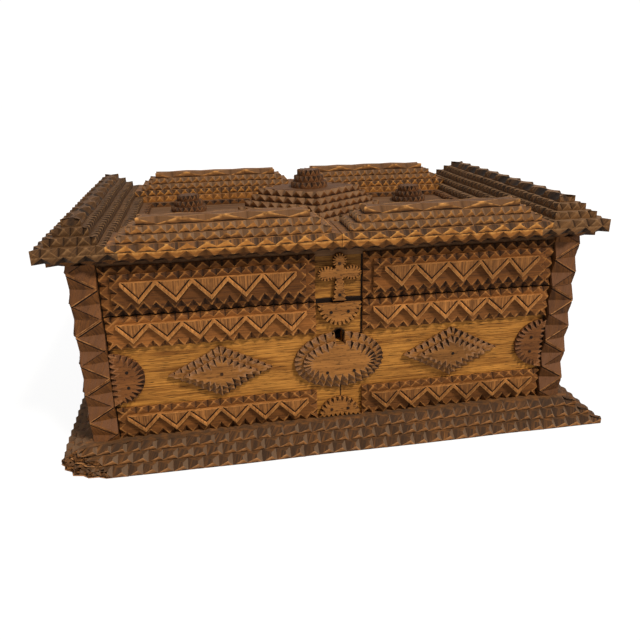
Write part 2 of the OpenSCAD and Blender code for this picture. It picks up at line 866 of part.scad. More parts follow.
base_lower();
base_middle();
base_upper();
bottom_board();
front_wall();
back_wall();
left_wall();
right_wall();
front_corner_posts();
rear_corner_posts();
upper_band_backs();
upper_band_zigzags();
lower_band_backs();
lower_band_zigzags();
half_rosettes_sides();
half_rosette_top();
half_rosette_bottom();
oval_lower();
oval_upper();
diamonds_lower();
diamonds_upper();
lock_case();
lock_bolt();
hinge_leaves_body();
hinge_pins();
body_nails();
lid_board();
lid_front_wall();
lid_back_wall();
lid_left_wall();
lid_right_wall();
lid_front_corner_posts();
lid_rear_corner_posts();
lid_band_backs();
lid_band_mids();
lid_band_zigzags();
lid_cross();
cornice();
eave_lower_sides();
eave_lower_ends();
eave_upper_sides();
eave_upper_ends();
side_ridge_step_1();
side_ridge_step_2();
side_ridge_top();
end_ridge_step_1();
end_ridge_step_2();
end_ridge_top();
crown_1();
crown_2();
crown_3();
crown_4();
crown_5();
buttons_large();
buttons_medium();
buttons_small();
hinge_leaves_lid();
strike_plate();
lid_nails();
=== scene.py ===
"""Looks of a notch-carved layered wooden box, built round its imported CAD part.

All sizes are in millimetres, as in the CAD source, until a piece is written out in metres.
"""

import math

import bpy
import numpy as np
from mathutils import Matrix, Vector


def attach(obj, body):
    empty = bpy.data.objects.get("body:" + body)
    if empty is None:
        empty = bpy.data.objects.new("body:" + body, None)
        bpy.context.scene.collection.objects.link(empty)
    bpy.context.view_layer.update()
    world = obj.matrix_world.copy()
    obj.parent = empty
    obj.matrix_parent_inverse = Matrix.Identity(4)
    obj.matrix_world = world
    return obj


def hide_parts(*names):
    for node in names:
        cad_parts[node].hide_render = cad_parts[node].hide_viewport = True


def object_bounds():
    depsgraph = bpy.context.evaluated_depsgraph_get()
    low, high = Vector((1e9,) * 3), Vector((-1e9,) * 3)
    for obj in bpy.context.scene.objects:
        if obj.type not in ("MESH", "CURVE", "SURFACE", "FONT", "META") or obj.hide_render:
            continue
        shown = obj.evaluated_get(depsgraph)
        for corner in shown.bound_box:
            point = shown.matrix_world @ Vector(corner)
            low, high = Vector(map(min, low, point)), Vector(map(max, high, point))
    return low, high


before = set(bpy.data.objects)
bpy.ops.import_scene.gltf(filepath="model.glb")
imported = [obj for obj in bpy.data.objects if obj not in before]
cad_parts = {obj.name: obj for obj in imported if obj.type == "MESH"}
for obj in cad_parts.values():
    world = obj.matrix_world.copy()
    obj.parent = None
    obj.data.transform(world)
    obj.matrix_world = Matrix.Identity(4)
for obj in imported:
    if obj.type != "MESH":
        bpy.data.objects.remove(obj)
cad_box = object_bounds()

MM = 0.001
BOX_LO, BOX_HI = (np.array(side, float) / MM for side in cad_box)
RNG = np.random.default_rng(7)

# Driving sizes: the body, its levels, the lid's edge and the thickness of the boards.

HALF_W, HALF_D = 147.0, 99.0
BASE_TOP, BODY_TOP, LID_LOW, FIELD_Z = 13.0, 90.85, 91.15, 122.6
CORNICE_T, EAVE_T, RIDGE_T, CROWN_T = 3.0, 3.9, 4.05, 4.05
CORNICE_TOP = FIELD_Z + CORNICE_T
EAVE_MID = CORNICE_TOP + EAVE_T
EAVE_TOP = EAVE_MID + EAVE_T
CORNICE_X, CORNICE_Y, EAVE_X, EAVE_Y = 160.8, 103.8, 166.3, 109.3
EAVE_W, EAVE_STEP = 37.7, 6.2
UPPER_X, UPPER_Y = EAVE_X - EAVE_W, EAVE_Y - EAVE_W
LOWER_X, LOWER_Y = UPPER_X - EAVE_STEP, UPPER_Y - EAVE_STEP
INNER_X, INNER_Y = LOWER_X - EAVE_STEP, LOWER_Y - EAVE_STEP
POST_W, POST_T, POST_PITCH = 15.4, 5.0, 18.3
FRONT_W, FRONT_X, SIDE_T, BACK_T = 15.0, HALF_W + 4.5, 6.5, 2.6
PANEL_Z, PANEL_T, BAND_T = 51.6, 3.0, 2.8

# Shapes.

# A part is a dict of arrays: points, quads, end faces (caps), a map, and one value per point for each
# attribute. Cut and chip mark the carving, whose cuts get painted shade on dark woods and painted light on
# pale ones, edge the rubbed edges with their painted highlight, top the dusty faces, and seam the joints,
# darkened with painted shade and dirt.

LEAST_TURN = 0.35
SHARP_TURN, CORNER_ROOM = math.radians(100), 0.9
STRAY_PLACE, STRAY_SIZE, DEEPEST = 0.07, 0.09, 1.15
SKEW_BOTTOM = 0.03
PLAIN_HUE, UNCUT_RIM = 0.25, 0.6


def rect(x0, y0, x1, y1):
    """Four corners, counter-clockwise from the front left."""
    return np.array([[x0, y0], [x1, y0], [x1, y1], [x0, y1]], float)


def arc(rx, ry, a0, a1, count):
    """Points on an oval from angle a0 to a1 in degrees, both ends in."""
    a = np.radians(np.linspace(a0, a1, count + 1))
    return np.column_stack([rx * np.cos(a), ry * np.sin(a)])


def edge_normals(outline):
    """Unit normals into a counter-clockwise outline: each edge's direction turned a quarter left."""
    step = np.roll(outline, -1, 0) - outline
    step = step / np.linalg.norm(step, axis=1, keepdims=True)
    return np.stack([-step[:, 1], step[:, 0]], 1)


def inset(outline, depth):
    """The outline moved inwards: a corner goes along the sum of its edge normals over one plus their dot."""
    after = edge_normals(outline)
    before = np.roll(after, 1, 0)
    dot = np.sum(after * before, 1, keepdims=True)
    return outline + depth * (after + before) / np.maximum(1 + dot, LEAST_TURN)


def chip_line(count, share, ground, skew, scoop):
    """Places from 0 to 1 along an edge with a number of chips, the chips' depth there, and a steep-side mark.

    Over one chip v runs from -1 to 1, and the depth is the tent 1 - |v|, a half circle if scoop is set, or a
    tent with its bottom at v = skew. share is how much of its stretch a chip takes up. Each chip strays a
    little in place and size. ground is the depth kept at the chip's ends, so that the corner between two
    chips is cut away too. The steep-side mark is 1 on the steep side of a skewed chip and 0 on its other
    side; -1 leaves it to the depth. The marked side takes the valley colour: painted light with a dusty grey
    where the valley colour is pale, painted shade where it is dark.
    """
    if not count:
        return np.linspace(0, 1, 4), np.zeros(4), np.full(4, -1.0)
    v = np.linspace(-1, 1, 9 if scoop else 5)
    dust = np.full(count * len(v), -1.0)
    if scoop:
        depth = np.sqrt(1 - v ** 2)
    elif skew is None:
        depth = 1 - np.abs(v)
    else:
        v = np.array([-1, skew - SKEW_BOTTOM, skew + SKEW_BOTTOM, 0.5 + skew / 2, 1])
        depth = np.where(v < skew, (1 + v) / (1 + skew), (1 - v) / (1 - skew))
        dust = np.tile(v < skew, count) * 1.0
    slide = RNG.normal(0, STRAY_PLACE, count)[:, None] * depth
    size = 1 + RNG.normal(0, STRAY_SIZE, count)[:, None]
    along = ((np.arange(count)[:, None] + 0.5 + (share * v + slide) / 2) / count).ravel()
    depth = np.clip(((ground + (1 - ground) * depth) * size).ravel(), 0, DEEPEST)
    along = np.concatenate([[0.0], along, [1.0]])
    depth, dust = (np.concatenate([row[:1], row, row[-1:]]) for row in (depth, dust))
    return along, depth, dust


def carved(outline, thick, cells, bite, drop, share=0.97, under=(), margin=None, grain=0, scoop=False,
           ground=0.0, skew=None, plain=(), seam=0.0):
    """A board with the given outline and one row of chips along each edge; cells counts them for each edge.

    On the board's face the carved line lies bite times the chip's depth inside the edge; on the board's side
    it lies drop times the depth below the face. chip_line gives the depth. bite is one number, or one for
    each edge. under lists the edges whose chips are on the lower side. The chips of the edges in plain keep
    the colour of the wood and have a thin dark line of painted shade at their bottom. margin is the width of
    the carved border, grain turns the fibre to Y, and seam is how dark the painted shade and dirt in the
    joint under the board are. Near a corner sharper than 80 degrees a chip stops short of the line that
    halves the corner.
    """
    bite = np.broadcast_to(bite, len(cells))
    margin = margin or bite.max() * 1.25
    ends, inner, normal = np.roll(outline, -1, 0), inset(outline, margin), edge_normals(outline)
    inner_ends = np.roll(inner, -1, 0)
    length = np.linalg.norm(ends - outline, axis=1)
    turn = np.arccos(np.clip((normal * np.roll(normal, 1, 0)).sum(1), -1, 1))
    room = np.where(turn > SHARP_TURN, CORNER_ROOM / np.tan(turn / 2), np.inf)
    room_ends = np.roll(room, -1)
    edges = []
    for k, count in enumerate(cells):
        along, depth, dust = chip_line(count, share, ground, skew, scoop)
        first = np.maximum(along, 1e-3) * length[k] * room[k]
        last = np.maximum(1 - along, 1e-3) * length[k] * room_ends[k]
        edges.append((outline[k] + along[:, None] * (ends[k] - outline[k]),
                      inner[k] + along[:, None] * (inner_ends[k] - inner[k]),
                      np.repeat(normal[k:k + 1], len(along), 0),
                      np.minimum(bite[k], np.minimum(first, last))[:, None],
                      depth,
                      np.full(len(along), float(k in under)),
                      dust,
                      np.full(len(along), PLAIN_HUE if k in plain else 1.0),
                      np.full(len(along), 1.0 if count else UNCUT_RIM)))
    place, back, face, reach, depth, low, dust, hue, rim = map(np.concatenate, zip(*edges))
    n = len(depth)
    wear_and_highlight = 0.04 + 0.06 * RNG.random(n)
    above, below = depth * (1 - low), depth * low
    up, down = np.maximum(above, wear_and_highlight)[:, None], np.maximum(below, 0.3 * wear_and_highlight)[:, None]
    floor, ceiling = np.zeros((n, 1)), np.full((n, 1), thick)
    ledge, foot = np.hstack([place + face * reach * up, ceiling]), np.hstack([place, thick - drop * up])
    rise, sill = np.hstack([place, drop * down]), np.hstack([place + face * reach * down, floor])
    top, bottom = np.hstack([back, ceiling]), np.hstack([back, floor])
    rows = [top, ledge, ledge, foot, foot, rise, rise, sill, sill, bottom]
    above, below = (np.clip((d - ground) / (1 - ground), 0, 1) for d in (above, below))
    # The steep side of a skewed chip takes the valley colour: painted light on pale valleys, painted shade on
    # dark ones.
    filled = np.where(dust < 0, np.where(hue < 1, above ** 3, above), dust)
    # Uncut rims and the ends of the chips take the colour of wear and a painted highlight.
    crest = rim if ground < 0.3 else 0.6 * rim
    fading, joint = crest * (1 - above), seam * (1 - low)
    zero, half, one = np.zeros(n), np.full(n, 0.5), np.ones(n)
    values = {"cut": [zero, zero, filled, filled, zero, zero, below, below, zero, zero],
              "seam": [zero, zero, zero, zero, zero, joint, zero, zero, zero, zero],
              "chip": [zero, zero, hue, hue, zero, zero, hue, hue, zero, zero],
              "edge": [zero, crest, fading, fading, rim, half, 1 - below, 1 - below, one, zero],
              "top": [one, one, half, zero, zero, zero, zero, zero, zero, zero]}
    points = np.stack(rows, 1).reshape(-1, 3)
    i, j = np.arange(n), np.array([0, 2, 4, 6, 8])
    here = (i[:, None] * 10 + j).ravel()
    there = (((i + 1) % n)[:, None] * 10 + j).ravel()
    flat = points[:, [1, 0]] if grain else points[:, :2]
    return {"points": points, "quads": np.stack([here, here + 1, there + 1, there], 1),
            "caps": [i * 10, i[::-1] * 10 + 9],
            "uv": np.column_stack([flat[:, 0], flat[:, 1] + (thick - points[:, 2])]),
            **{key: np.stack(rows, 1).ravel() for key, rows in values.items()}}


ZIG_PITCH, ZIG_BAR, ZIG_ROWS, ZIG_STEP = 18.0, 1.6, 22, 0.5
LINE_AT, LINE_WIDE, LINE_DEEP = 2.2, 0.45, 0.7


def zigzag(length, height):
    """A strip with a straight upper edge and a lower edge that runs up and down.

    Its face is a grid stretched between the two edges. An incised line runs parallel to the lower edge; a
    point's distance from that edge is its height above it times the cosine of the edge's slope, and the
    line's depth is a bell curve of the distance. Fine upright hatching covers the face above the line.
    """
    count = max(2, round(length / ZIG_PITCH))
    knee_x = np.linspace(0, length, 2 * count + 1)
    knee_y = np.where(np.arange(2 * count + 1) % 2 == 0, height - ZIG_BAR, 0.0)
    knee_x[1:-1] += RNG.normal(0, 0.4, 2 * count - 1)
    knee_y[::2] -= RNG.random(count + 1) * 0.8
    x = np.unique(np.concatenate([np.linspace(0, length, int(length / ZIG_STEP)), knee_x]))
    low = np.interp(x, knee_x, knee_y)
    t = np.linspace(0, 1, ZIG_ROWS)[:, None]
    px, py = np.broadcast_to(x, (ZIG_ROWS, len(x))), low + t * (height - low)
    far = (py - low) * math.cos(math.atan2(height - ZIG_BAR, length / count / 2))
    line = np.clip(1.5 * np.exp(-((far - LINE_AT) / LINE_WIDE) ** 2), 0, 1.05)
    hatch = RNG.normal(size=len(x)) * (far > LINE_AT + 0.4)
    face = BAND_T - LINE_DEEP * line - 0.25 * np.exp(-(far / 0.3) ** 2) + 0.05 * hatch
    top, foot = np.stack([px, py, face], 2), np.stack([px, py, 0 * face], 2)
    points = np.concatenate([foot[:1], top[:1], top, top[-1:], foot[-1:]])
    rows, wide = points.shape[:2]
    ones, zeros = np.ones((1, wide)), np.zeros((1, wide))
    hatched = 0.4 * np.clip(hatch, -1, 1) + 0.55 * (far > LINE_AT + 0.2)
    # cut darkens the incised line and the foot of each side as painted shade; edge paints a highlight along
    # the edges.
    cut = np.concatenate([0.5 * ones, zeros, line, zeros, 0.4 * ones])
    edge = np.concatenate([zeros, ones, np.exp(-(far / 0.8) ** 2), ones, zeros])
    chip = np.clip(np.concatenate([zeros, zeros, hatched, zeros, zeros]), 0, 1)
    faced = [0, *range(2, rows - 3), rows - 2, rows - 1]
    r, c = np.meshgrid(faced, np.arange(wide - 1), indexing="ij")
    here, there = (r * wide + c).ravel(), (((r + 1) % rows) * wide + c).ravel()
    side = np.arange(rows) * wide
    points = points.reshape(-1, 3)
    return {"points": points, "quads": np.stack([here, here + 1, there + 1, there], 1),
            "caps": [side[::-1], side + wide - 1],
            "uv": np.column_stack([points[:, 1], points[:, 0] + points[:, 2]]),
            "cut": cut.ravel(), "chip": chip.ravel(), "edge": edge.ravel(), "top": np.zeros(len(points))}


POST_COLUMNS, POST_STEP = 41, 0.4
SCORE_AT, SCORE_WIDE, SCORE_DEEP = 0.6, 0.4, 0.5


def post(wide, z0, z1, thick, flip=False):
    """A corner strip with large chips from both long edges in turn.

    From each edge, a chip's depth is drop times (1 - x / wide - |u|), where x is the distance from that edge
    and u runs from -1 to 1 along the chip; the deeper of the two sets counts. A fine scored line follows the
    upper outline of each chip. flip mirrors the strip.
    """
    drop = min(3.4, 0.72 * thick)
    nx, nz = POST_COLUMNS, int((z1 - z0) / POST_STEP) + 2
    x = np.linspace(0, wide, nx)[None, :]
    z = np.linspace(z0, z1, nz)[:, None]
    whole = FIELD_Z - BASE_TOP
    count = round(whole / POST_PITCH)
    step = whole / count
    inside, upper, grey = np.full((nz, nx), -9.0), np.zeros((nz, nx)), np.zeros((nz, nx))
    for side, shift in ((x, 0.75), (wide - x, 0.25)):
        turn = (z - BASE_TOP) / step + shift
        wave = 0.05 * np.sin(2.3 * np.floor(turn) + 5 * shift)
        u = 2 * (turn - np.floor(turn) - 0.5 + wave)
        here = 1 - side / wide - np.abs(u)
        greys = RNG.uniform(0.2, 1.1, count + 3)[np.floor(turn).astype(int)]
        upper, grey = np.where(here > inside, u > 0, upper), np.where(here > inside, greys, grey)
        inside = np.maximum(inside, here)
    gap = inside * step / 2 * 0.72
    groove = np.exp(-((gap - SCORE_AT) / SCORE_WIDE) ** 2) * upper
    depth = drop * np.clip(inside, 0, 1) + SCORE_DEEP * groove + 0.05 * RNG.normal(size=(nz, nx))
    depth = np.clip(depth, 0, thick - 0.6)
    # The scored line is darkened as painted shade, edge paints a highlight along each ridge, and the lower
    # facet of each chip, which faces up, takes the paler facet colour at a random strength: painted light
    # with a dusty grey.
    cut = np.clip(1.6 * groove, 0, 1.05)
    edge = np.exp(-(gap / 0.4) ** 2)
    chip = np.clip(inside * 12, 0, 1) * (1 - upper) * grey
    grid = np.stack([np.broadcast_to(x, (nz, nx)), np.broadcast_to(z, (nz, nx)), thick - depth], 2)
    flank = grid[:, [0, -1]] * (1, 1, 0)
    points = np.concatenate([flank[:, :1], grid, flank[:, 1:]], 1).reshape(-1, 3)
    values = {key: np.concatenate([share * v[:, :1], v, share * v[:, -1:]], 1).ravel()
              for key, v, share in (("cut", cut, 0.3), ("chip", chip, 0.0), ("edge", edge, 0.0))}
    across = nx + 2
    r, c = np.meshgrid(np.arange(nz - 1), np.arange(across - 1), indexing="ij")
    here = (r * across + c).ravel()
    quads = np.stack([here, here + 1, here + across + 1, here + across], 1)
    row, last = np.arange(across), (nz - 1) * across
    caps = [row[::-1], last + row, np.array([0, last, last + across - 1, across - 1])]
    if flip:
        points[:, 0] = wide - points[:, 0]
        quads, caps = quads[:, ::-1], [cap[::-1] for cap in caps]
    return {"points": points, "quads": quads, "caps": caps, "top": np.zeros(len(points)),
            "uv": np.column_stack([points[:, 1], points[:, 0] + points[:, 2]]), **values}


# Frames for a part that is drawn flat with its face up: at a distance from a wall, or lying level.

def stand(right, up, origin):
    """Columns: the part's own X, Y and face direction; the face direction is X cross Y."""
    right, up = np.array(right, float), np.array(up, float)
    return np.stack([right, up, np.cross(right, up)], 1), np.array(origin, float)


def on_front(layer):
    return stand((1, 0, 0), (0, 0, 1), (0, -HALF_D - layer, 0))


def on_back(layer):
    return stand((-1, 0, 0), (0, 0, 1), (0, HALF_D + layer, 0))


def on_right(layer):
    return stand((0, 1, 0), (0, 0, 1), (HALF_W + layer, 0, 0))


def on_left(layer):
    return stand((0, -1, 0), (0, 0, 1), (-HALF_W - layer, 0, 0))


def level(z, x=0, y=0):
    return stand((1, 0, 0), (0, 1, 0), (x, y, z))


def shifted(place, x, y):
    """A frame moved along its own X and Y."""
    turn, origin = place
    return turn, origin + turn[:, 0] * x + turn[:, 1] * y


def sway(p):
    """A slight hand-made unevenness: sums of slow sines of the place, under a third of a millimetre."""
    x, y, z = p[:, 0], p[:, 1], p[:, 2]
    return np.column_stack([
        0.14 * np.sin(0.061 * y + 0.11 * z) + 0.10 * np.sin(0.13 * y - 0.05 * z + 1.0),
        0.14 * np.sin(0.057 * x + 0.09 * z + 2.0) + 0.10 * np.sin(0.12 * x + 0.5),
        0.12 * np.sin(0.049 * x + 0.041 * y + 0.7) + 0.10 * np.sin(0.11 * x - 0.08 * y)])


CARVING = ("cut", "chip", "edge", "top")
GRAIN_SPREAD = 900


def emit(name, body, material, parts, light=0.0):
    """Joins parts into one object that stands for a CAD node and rides on a body.

    parts holds pairs of a part and its frame. light makes the wood paler or darker; chance adds to it for
    each part, and so does the part's own stain.
    """
    own = np.random.default_rng(sum(map(ord, name)))
    points, faces, uv, start = [], [], [], 0
    attributes = {key: [] for key in (*CARVING, "tone", "seam")}
    for part, (turn, origin) in parts:
        none = np.zeros(len(part["points"]))
        points.append(part["points"] @ turn.T + origin)
        faces += (part["quads"] + start).tolist() + [(cap + start).tolist() for cap in part["caps"]]
        uv.append(part["uv"] + own.uniform(0, GRAIN_SPREAD, 2))
        for key in CARVING:
            attributes[key].append(part[key])
        attributes["seam"].append(part.get("seam", none))
        attributes["tone"].append(light + own.random() + part.get("stain", none))
        start += len(none)
    points, uv = np.concatenate(points), np.concatenate(uv)
    points = np.clip(points + sway(points), BOX_LO, BOX_HI)
    mesh = bpy.data.meshes.new(name)
    mesh.from_pydata((points * MM).tolist(), [], faces)
    corner = np.empty(len(mesh.loops), np.int32)
    mesh.loops.foreach_get("vertex_index", corner)
    layer = mesh.uv_layers.new(name="grain")
    layer.data.foreach_set("uv", uv[corner].astype(np.float32).ravel())
    for key, values in attributes.items():
        data = mesh.attributes.new(key, "FLOAT", "POINT")
        data.data.foreach_set("value", np.concatenate(values).astype(np.float32))
    mesh.materials.append(material)
    mesh.update()
    obj = bpy.data.objects.new(name, mesh)
    bpy.context.scene.collection.objects.link(obj)
    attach(obj, body)
    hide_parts(name)


# Materials.

class Num:
    """A number in a node tree; arithmetic on it adds Math nodes."""

    def __init__(self, graph, socket):
        self.graph, self.socket = graph, socket

    def op(self, kind, *args):
        return self.graph.num("ShaderNodeMath", {"operation": kind}, dict(enumerate(args)))

    def __add__(self, other):
        return self.op("ADD", self, other)

    __radd__ = __add__

    def __sub__(self, other):
        return self.op("SUBTRACT", self, other)

    def __rsub__(self, other):
        return self.op("SUBTRACT", other, self)

    def __mul__(self, other):
        return self.op("MULTIPLY", self, other)

    __rmul__ = __mul__

    def __pow__(self, other):
        return self.op("POWER", self, other)

    def __abs__(self):
        return self.op("ABSOLUTE", self)

    def ramp(self, start, end):
        """Smoothly from 0 at start to 1 at end."""
        return self.graph.num("ShaderNodeMapRange", {"interpolation_type": "SMOOTHSTEP"},
                              {0: self, 1: start, 2: end, 3: 0.0, 4: 1.0})


BUMP_HEIGHT = 0.6 * MM


class Graph:
    """A material's node tree."""

    def __init__(self, name):
        self.material = bpy.data.materials.new(name)
        self.material.use_nodes = True
        self.tree = self.material.node_tree
        self.tree.nodes.clear()

    def node(self, kind, settings=None, sockets=None):
        made = self.tree.nodes.new(kind)
        for key, value in (settings or {}).items():
            setattr(made, key, value)
        for key, value in (sockets or {}).items():
            if isinstance(value, Num):
                self.tree.links.new(value.socket, made.inputs[key])
            else:
                made.inputs[key].default_value = value
        return made

    def num(self, kind, settings=None, sockets=None, out=0):
        return Num(self, self.node(kind, settings, sockets).outputs[out])

    def attribute(self, name):
        return self.num("ShaderNodeAttribute", {"attribute_name": name}, out="Fac")

    def split(self, vector):
        made = self.node("ShaderNodeSeparateXYZ", None, {0: vector})
        return [Num(self, out) for out in made.outputs]

    def place(self):
        """The three object coordinates in millimetres."""
        return [part * (1 / MM) for part in self.split(self.num("ShaderNodeTexCoord", out="Object"))]

    def noise(self, x, y, z, detail=3.0, rough=0.55):
        vector = self.num("ShaderNodeCombineXYZ", None, {0: x, 1: y, 2: z})
        return self.num("ShaderNodeTexNoise", None,
                        {"Vector": vector, "Scale": 1.0, "Detail": detail, "Roughness": rough})

    def mix(self, factor, a, b, kind="MIX"):
        settings = {"data_type": "RGBA", "blend_type": kind, "clamp_factor": True}
        return self.num("ShaderNodeMix", settings, {0: factor, 6: a, 7: b}, 2)

    def finish(self, colour, rough, height, bump=0.3, specular=0.14, glow=0.0):
        normal = self.num("ShaderNodeBump", None,
                          {"Strength": bump, "Distance": BUMP_HEIGHT, "Height": height})
        shader = self.num("ShaderNodeBsdfPrincipled", None,
                          {"Base Color": colour, "Roughness": rough, "Normal": normal,
                           "Specular IOR Level": specular, "Emission Color": (1.0, 1.0, 1.0, 1.0),
                           "Emission Strength": glow})
        self.node("ShaderNodeOutputMaterial", None, {0: shader})
        return self.material


def rgb(r, g, b):
    """Screen colour of 0 to 255 as linear light."""
    c = np.array([r, g, b]) / 255.0
    c = np.where(c <= 0.04045, c / 12.92, ((c + 0.055) / 1.055) ** 2.4)
    return (*c.tolist(), 1.0)


# Near black: dark pores and dashes, and dirt with painted shade in the cuts, joints and gaps.
DARK_DIRT_AND_SHADE = rgb(24, 14, 7)


def fibre(g, u, v, dark, light, streak=1.0, tone=None):
    """Colour and height of bare wood, its fine noise and a soil noise; u runs along the fibre, v across.

    Grain is noise drawn out along the fibre, at two widths, which mixes the dark and the light colour. A
    slow noise and the tone shade it, and the highest streaks of another noise are dark pores.
    """
    fine = g.noise(u * 0.035, v * 1.2, 0.0, 4.0, 0.65)
    middle = g.noise(u * 0.012, v * 0.22, 3.0)
    blotch = g.noise(u * 0.035, v * 0.05, 7.0)
    soil = g.noise(u * 0.25, v * 0.25, 17.0)
    pores = g.noise(u * 0.10, v * 2.6, 11.0, 2.0).ramp(0.56, 0.7)
    shade = 0.62 + blotch * 0.76
    if tone is not None:
        shade = shade * (0.82 + tone * 0.36)
    colour = g.mix((fine - 0.5) * (1.7 * streak) + (middle - 0.5) * 1.6 + 0.5, dark, light)
    grey = g.num("ShaderNodeCombineColor", None, {0: shade, 1: shade, 2: shade})
    colour = g.mix(1.0, colour, grey, "MULTIPLY")
    colour = g.mix(pores * (0.7 * streak), colour, DARK_DIRT_AND_SHADE)
    return colour, fine - pores * 0.8, fine, soil


def wood(name, dark, light, facet, dust, valley=DARK_DIRT_AND_SHADE, wear_and_highlight=None, dusty=0.9, fill=0.8, fleck=0.0,
         sharp=(0.6, 1.0), speck=0.0):
    """Old carved wood, on the piece's own map.

    Chip faces take the facet colour, which is painted shade where it is near black. The bottoms of the cuts
    take the valley colour: painted shade and dirt where it is dark, painted light with a dusty grey where it
    is pale. A dusty grey covers the upper faces, edges take the colour of wear and a painted highlight, and
    joints are darkened with painted shade and dirt. fleck adds short dark dashes, and speck lightens the
    chip faces in small spots.
    """
    g = Graph(name)
    u, v, _ = g.split(g.num("ShaderNodeUVMap", {"uv_map": "grain"}))
    cut, chip, edge, top, tone, seam = map(g.attribute, (*CARVING, "tone", "seam"))
    colour, height, fine, soil = fibre(g, u, v, dark, light, tone=tone)
    if fleck:
        dashes = g.noise(u * 0.3, v * 0.8, 23.0, 1.0).ramp(0.58, 0.66)
        colour = g.mix(dashes * fleck, colour, DARK_DIRT_AND_SHADE)
    colour = g.mix(top * soil.ramp(0.2, 0.7) * dusty, colour, dust)
    # Chip faces: where the facet colour is near black it is painted shade.
    colour = g.mix(chip * (1.4 + soil * 1.2 - fine * 2.4), colour, facet)
    if speck:
        spots = g.noise(u * 0.9, v * 0.9, 41.0, 2.0).ramp(0.5, 0.7)
        colour = g.mix(chip * spots * speck, colour, wear_and_highlight)
    # Rubbed edges: wear and a painted highlight.
    colour = g.mix(edge.ramp(0.7, 1.0) * soil.ramp(0.3, 0.6) * 0.85, colour, wear_and_highlight or light)
    # Cut bottoms: painted shade and dirt in dark valleys, painted light with a dusty grey in pale ones.
    colour = g.mix(cut.ramp(*sharp) * (0.5 + soil) * fill, colour, valley)
    # Joints under the boards: painted shade and dirt.
    colour = g.mix(seam.ramp(0.66, 0.84) * soil.ramp(0.2, 0.45) * 0.9, colour, DARK_DIRT_AND_SHADE)
    return g.finish(colour, 0.62 + 0.3 * soil, height)


JOINT_Z, KEYHOLE_Z, CRACK_X, CRACK_Z, RIGHT_JOINT_X = 91.0, 67.5, 1.0, 30.0, 14.0


def painted_shade_and_dirt(along, x, y, z):
    """How dark the painted shade and dirt on the outer face of a wall board are at a place in millimetres.

    Painted shade, mottled like dirt, lies in the lid joint and beside the corner strips, and on the front
    also round the keyhole, in a crack below it, in a joint right of the middle, and behind the cross, where
    it grows towards the eave.
    """
    joint = abs(z - JOINT_Z).ramp(1.9, 1.2) * 2.0
    if along == "Y":
        return (joint + abs(y).ramp(80.0, 83.0)) * abs(x).ramp(146.2, 146.8)
    keyhole = (x * x + (z - KEYHOLE_Z) ** 2.0).ramp(36.0, 20.0)
    crack = abs(x - CRACK_X).ramp(0.6, 0.3) * abs(z - CRACK_Z).ramp(4.2, 3.8)
    right_joint = abs(x - RIGHT_JOINT_X).ramp(0.7, 0.4) * z.ramp(66.0, 68.0)
    behind_cross = abs(x).ramp(20.0, 17.0) * (z.ramp(94.0, 112.0) * 0.45 + z.ramp(64.0, 70.0) * 0.12)
    front = (keyhole + crack + right_joint + behind_cross) * y.ramp(0.0, -50.0)
    return (joint + abs(x).ramp(132.0, 136.0) + front) * abs(y).ramp(98.2, 98.8)


def plank(name, along, dark, light, streak=1.0, shaded_and_dirty=False):
    """Flat wood of a CAD board, with the fibre along X or Y, on object coordinates, and if asked painted
    shade and dirt on the outer faces.
    """
    g = Graph(name)
    x, y, z = g.place()
    u, v = (x, z + y) if along == "X" else (y, z + x)
    colour, height, _, soil = fibre(g, u, v, dark, light, streak)
    if shaded_and_dirty:
        # Painted shade and dirt on the outer face of a wall.
        colour = g.mix(painted_shade_and_dirt(along, x, y, z) * (0.6 + soil * 0.6), colour, DARK_DIRT_AND_SHADE)
    return g.finish(colour, 0.62 + 0.3 * soil, height)


def iron(name):
    """Dark old iron: near black, with brown rust where a coarse noise is high."""
    g = Graph(name)
    x, y, z = g.place()
    rust = g.noise(x * 0.35, y * 0.35, z * 0.35, 5.0)
    grit = g.noise(x * 2.5, y * 2.5, z * 2.5, 2.0)
    colour = g.mix(rust.ramp(0.45, 0.7), rgb(26, 18, 12), rgb(58, 36, 20))
    return g.finish(colour, 0.6 + 0.3 * rust, grit, bump=0.35, specular=0.12)


BASE = wood("base_wood", rgb(72, 46, 24), rgb(132, 85, 42), facet=rgb(58, 41, 28), dust=rgb(62, 46, 32),
            valley=rgb(100, 79, 60), wear_and_highlight=rgb(160, 113, 70), fill=0.7, sharp=(0.3, 0.7))
# The near-black facets of the wings are painted shade in the chips.
WING = wood("wing_wood", rgb(66, 43, 23), rgb(112, 76, 41), facet=rgb(36, 23, 12), dust=rgb(108, 82, 58),
            wear_and_highlight=rgb(126, 92, 58), dusty=1.1)
RIDGE = wood("ridge_wood", rgb(86, 52, 25), rgb(144, 94, 46), facet=rgb(94, 69, 48), dust=rgb(84, 63, 46),
             valley=rgb(112, 88, 66), wear_and_highlight=rgb(172, 118, 60), fill=0.5, sharp=(0.3, 0.7), fleck=0.4)
RIDGE_TOP = wood("ridge_top_wood", rgb(84, 52, 27), rgb(130, 85, 44), facet=rgb(94, 65, 40),
                 dust=rgb(88, 65, 46), valley=rgb(70, 46, 26), wear_and_highlight=rgb(200, 142, 78), dusty=0.7, fill=0.7,
                 sharp=(0.85, 1.0), fleck=0.3)
EAVE = wood("eave_wood", rgb(104, 61, 22), rgb(158, 102, 45), facet=rgb(66, 47, 33), dust=rgb(72, 54, 40),
            valley=rgb(54, 38, 26), wear_and_highlight=rgb(196, 138, 70), fill=0.5)
EAVE_LOW = wood("eave_low_wood", rgb(104, 61, 22), rgb(158, 102, 45), facet=rgb(100, 63, 30),
                dust=rgb(86, 64, 44), valley=rgb(70, 43, 20), wear_and_highlight=rgb(186, 130, 66), fill=0.6)
